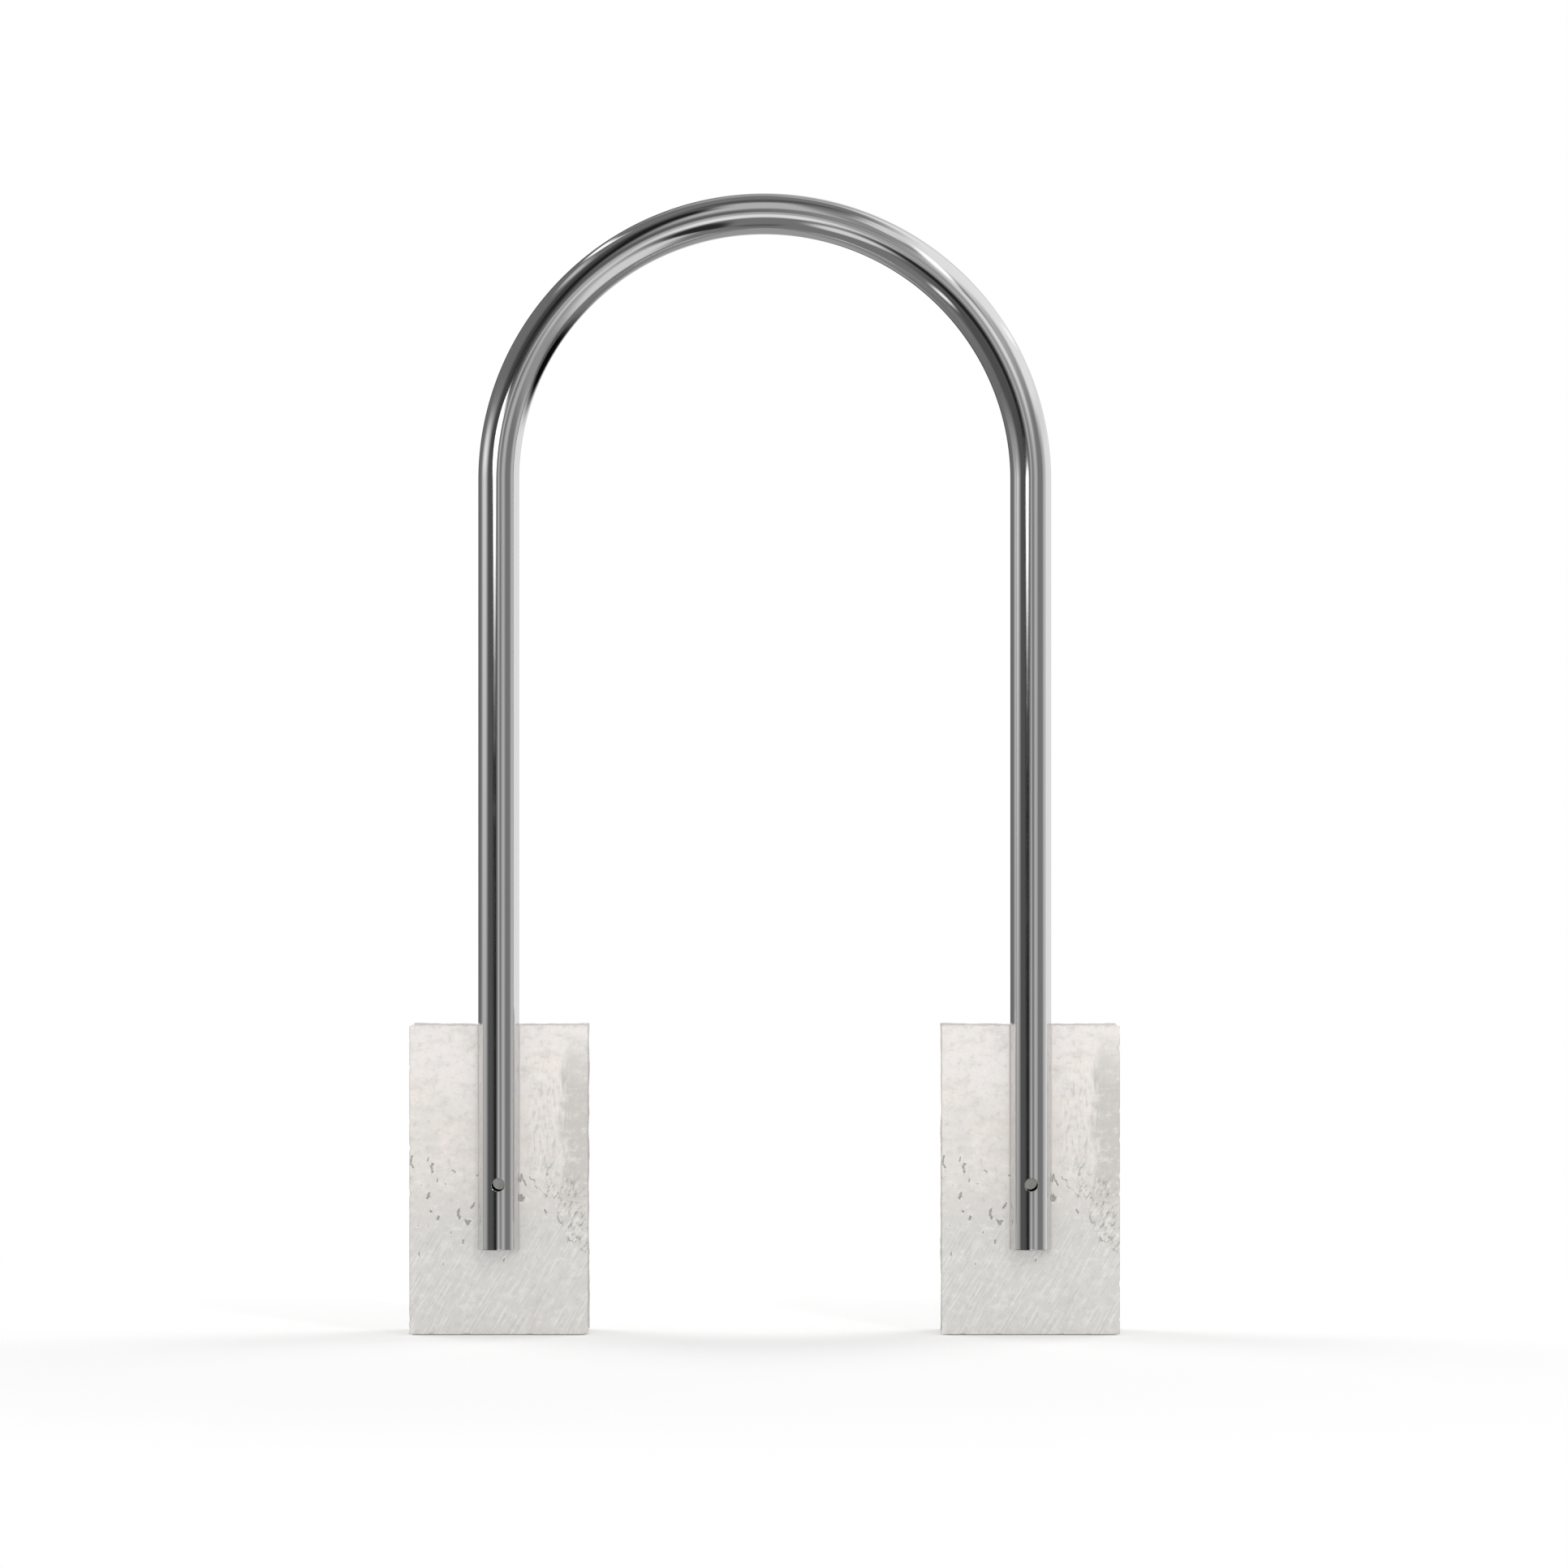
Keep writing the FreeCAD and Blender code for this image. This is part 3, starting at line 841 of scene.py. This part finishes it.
def make_panel_group(name, is_round):
    """Node group: how much of a panel lies in a direction, 0 to 1. It is a soft-rimmed box or ellipse."""
    group = bpy.data.node_groups.new(name, "ShaderNodeTree")
    names = ("Azimuth", "Elevation", "Middle Azimuth", "Middle Elevation", "Half Width", "Half Height",
             "Soft Rim", "Rise")
    for socket_name in names:
        group.interface.new_socket(socket_name, in_out="INPUT", socket_type="NodeSocketFloat")
    group.interface.new_socket("Share", in_out="OUTPUT", socket_type="NodeSocketFloat")
    nodes = Nodes(group)
    given = nodes.add("NodeGroupInput").outputs
    half_width, half_height, rim = (given[name] for name in ("Half Width", "Half Height", "Soft Rim"))
    across = nodes.math("SUBTRACT", given["Azimuth"], given["Middle Azimuth"])
    across = nodes.math("WRAP", across, 180.0, -180.0)
    above = nodes.math("SUBTRACT", given["Elevation"], given["Middle Elevation"])
    above = nodes.math("SUBTRACT", above, nodes.math("MULTIPLY", across, given["Rise"]))
    if is_round:
        across = nodes.math("DIVIDE", across, half_width)
        above = nodes.math("DIVIDE", above, half_height)
        rim = nodes.math("DIVIDE", rim, half_height)
        above_squared = nodes.math("MULTIPLY", above, above)
        from_middle = nodes.math("SQRT", nodes.math("MULTIPLY_ADD", across, across, above_squared))
        outside, inside = nodes.math("ADD", 1.0, rim), nodes.math("SUBTRACT", 1.0, rim)
        share = nodes.remap(from_middle, outside, inside)
    else:
        shares = []
        for offset, half in ((across, half_width), (above, half_height)):
            outside, inside = nodes.math("ADD", half, rim), nodes.math("SUBTRACT", half, rim)
            shares.append(nodes.remap(nodes.math("ABSOLUTE", offset), outside, inside))
        share = nodes.product(*shares)
    output = nodes.add("NodeGroupOutput")
    nodes.feed(output.inputs["Share"], share)
    return group


def make_world():
    """White for the camera, plain soft light for every surface, and the panels that the steel mirrors."""
    world = bpy.data.worlds.new("studio")
    world.use_nodes = True
    bpy.context.scene.world = world
    world.node_tree.nodes.clear()
    nodes = Nodes(world.node_tree)
    direction = nodes.add("ShaderNodeTexCoord").outputs["Generated"]
    axes = nodes.add("ShaderNodeSeparateXYZ", {"Vector": direction}).outputs
    to_front = nodes.math("MULTIPLY", axes["Y"], -1.0)
    azimuth = nodes.math("DEGREES", nodes.math("ARCTAN2", axes["X"], to_front))
    elevation = nodes.math("DEGREES", nodes.math("ARCSINE", axes["Z"]))

    box_group, round_group = make_panel_group("panel", False), make_panel_group("round_panel", True)
    shapes = [(box_group, panel) for panel in PANELS] + [(round_group, panel) for panel in ROUND_PANELS]
    mirrored = linear(BETWEEN_PANELS) / STEEL_LEVEL
    for group, (name, middle, level, half_width, half_height, rim, rise, grey) in shapes:
        panel = nodes.add("ShaderNodeGroup", node_tree=group, label=name)
        values = (azimuth, elevation, middle, level, half_width, half_height, rim, rise)
        for socket, value in zip(panel.inputs, values):
            nodes.feed(socket, value)
        mirrored = nodes.blend_values(panel.outputs["Share"], mirrored, linear(grey) / STEEL_LEVEL)

    light_path = nodes.add("ShaderNodeLightPath").outputs
    strength = nodes.blend_values(light_path["Is Glossy Ray"], AROUND_LEVEL, mirrored)
    strength = nodes.blend_values(light_path["Is Camera Ray"], strength, 1.0)
    background = nodes.add("ShaderNodeBackground", {"Color": WHITE, "Strength": strength})
    output = nodes.add("ShaderNodeOutputWorld")
    nodes.feed(output.inputs["Surface"], background.outputs["Background"])


def add_lamp(name, direction, target, distance, size, level):
    """Soft round lamp that gives a white surface facing it this level. The steel doesn't mirror it."""
    data = bpy.data.lights.new(name, "AREA")
    data.shape = "DISK"
    data.size = size
    data.energy = level * math.pi ** 2 * distance ** 2
    lamp = bpy.data.objects.new(name, data)
    lamp.location = target + direction * distance
    lamp.rotation_mode = "QUATERNION"
    lamp.rotation_quaternion = direction.to_track_quat("Z", "Y")
    lamp.visible_glossy = False
    lamp.visible_camera = False
    bpy.context.scene.collection.objects.link(lamp)


# The floor: its size, its own grey, how much brighter the camera sees it, and between which distances from
# the middle it fades to white.
FLOOR_SIZE = 40
FLOOR_GREY = (0.93, 0.93, 0.93, 1)
FLOOR_LIFT = 0.17
FLOOR_FADE = (0.8, 1.8)


def make_floor():
    """Pale floor under the footings. The camera sees it fade to white, with the shadows left on it."""
    deselect_all()
    bpy.ops.mesh.primitive_plane_add(size=FLOOR_SIZE, location=(0, 0, FOOTING_BASE))
    floor = name_new_piece("floor")
    material, nodes = empty_material("pale_floor")
    for_camera = nodes.add("ShaderNodeLightPath").outputs["Is Camera Ray"]
    place = nodes.add("ShaderNodeTexCoord").outputs["Object"]
    from_middle = nodes.add("ShaderNodeVectorMath", {0: place}, operation="LENGTH").outputs["Value"]
    diffuse = nodes.add("ShaderNodeBsdfDiffuse", {"Color": FLOOR_GREY}).outputs["BSDF"]
    lift_level = nodes.math("MULTIPLY", for_camera, FLOOR_LIFT)
    lift = nodes.add("ShaderNodeEmission", {"Color": WHITE, "Strength": lift_level})
    lit = nodes.add("ShaderNodeAddShader", {0: diffuse, 1: lift.outputs["Emission"]}).outputs["Shader"]
    white = nodes.add("ShaderNodeEmission", {"Color": WHITE}).outputs["Emission"]
    fade = nodes.math("MULTIPLY", nodes.remap(from_middle, *FLOOR_FADE), for_camera)
    shown = nodes.add("ShaderNodeMixShader", {0: fade, 1: lit, 2: white}).outputs["Shader"]
    output = nodes.add("ShaderNodeOutputMaterial")
    nodes.feed(output.inputs["Surface"], shown)
    floor.data.materials.append(material)
    floor.visible_glossy = False


def make_camera():
    """Camera at the place from which the photograph was taken."""
    back = direction_vector(0, 0)
    data = bpy.data.cameras.new("camera")
    data.sensor_width = SENSOR_WIDTH / MM
    data.lens = PIXELS_PER_METRE * CAMERA_DISTANCE / IMAGE_PIXELS * SENSOR_WIDTH / MM
    camera = bpy.data.objects.new("camera", data)
    camera.location = back * CAMERA_DISTANCE + Vector((HOOP_LEFT_OF_MIDDLE, 0, CAMERA_LEVEL))
    camera.rotation_mode = "QUATERNION"
    camera.rotation_quaternion = back.to_track_quat("Z", "Y")
    bpy.context.scene.collection.objects.link(camera)
    bpy.context.scene.camera = camera
    return camera


def finish_piece(piece, node, material):
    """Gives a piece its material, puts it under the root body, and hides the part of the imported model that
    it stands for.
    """
    piece.data.materials.clear()
    piece.data.materials.append(material)
    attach(piece, "root")
    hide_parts(node)


camera = make_camera()
hoop = make_hoop()
left_concrete = make_footing()
right_concrete = copy_footing(left_concrete)
steel = make_polished_stainless()
concrete = make_cast_concrete()
finish_piece(hoop, "hoop_tube", steel)
finish_piece(left_concrete, "left_footing", concrete)
finish_piece(right_concrete, "right_footing", concrete)

make_world()
make_floor()
key_direction = direction_vector(KEY_AZIMUTH, KEY_ELEVATION)
face_share = math.cos(KEY_AZIMUTH) * math.cos(KEY_ELEVATION)
hoop_middle = Vector((0, 0, (hoop_low.z + hoop_high.z) / 2))
add_lamp("main_lamp", key_direction, hoop_middle, KEY_DISTANCE, KEY_SIZE, KEY_LEVEL / face_share)
hole_middle = Vector((0, 0, HOLE_LEVEL))
to_camera = camera.location - hole_middle
add_lamp("lamp_by_camera", to_camera.normalized(), hole_middle, to_camera.length, FRONT_SIZE, FRONT_LEVEL)
for name, side in (("left_lamp_behind", -1), ("right_lamp_behind", 1)):
    direction = direction_vector(side * BEHIND_AZIMUTH, BEHIND_ELEVATION)
    add_lamp(name, direction, Vector((0, 0, 0)), BEHIND_DISTANCE, BEHIND_SIZE, BEHIND_LEVEL)
bpy.context.scene.view_settings.view_transform = "Standard"
